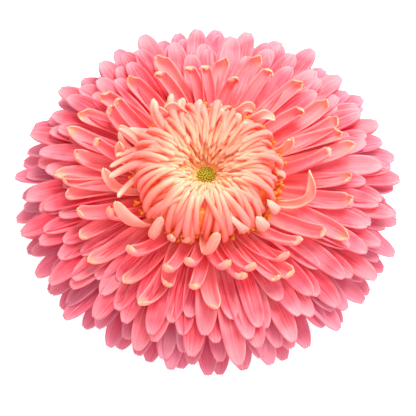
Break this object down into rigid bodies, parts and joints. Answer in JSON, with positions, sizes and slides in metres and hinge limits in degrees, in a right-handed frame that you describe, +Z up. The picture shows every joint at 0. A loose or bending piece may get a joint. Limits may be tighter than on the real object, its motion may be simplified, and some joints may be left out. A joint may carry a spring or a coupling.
{
  "type": "china aster bloom",
  "caption": "Double china aster bloom with a short stub of stem: tiers of pink ray florets round a cushion of peach incurved quilled florets with a green eye.",
  "frame": {"origin": "on the surface the bloom rests on, under the middle of its outline", "axes": "+Z up out of the bloom's face, +Y away from the viewer of the picture, +X to the viewer's right"},
  "size_m": [0.0922, 0.0922, 0.0263],
  "materials": {
    "stem": "matte",
    "bracts": "matte",
    "outer_rays": "satin",
    "middle_rays": "satin",
    "inner_rays": "satin",
    "quilled_florets": "satin",
    "eye": "matte"
  },
  "bodies": {
    "root": {"stem": "stem", "bracts": "bracts", "outer_rays": "outer_rays", "middle_rays": "middle_rays", "inner_rays": "inner_rays", "quilled_florets": "quilled_florets", "eye": "eye"}
  },
  "joints": []
}
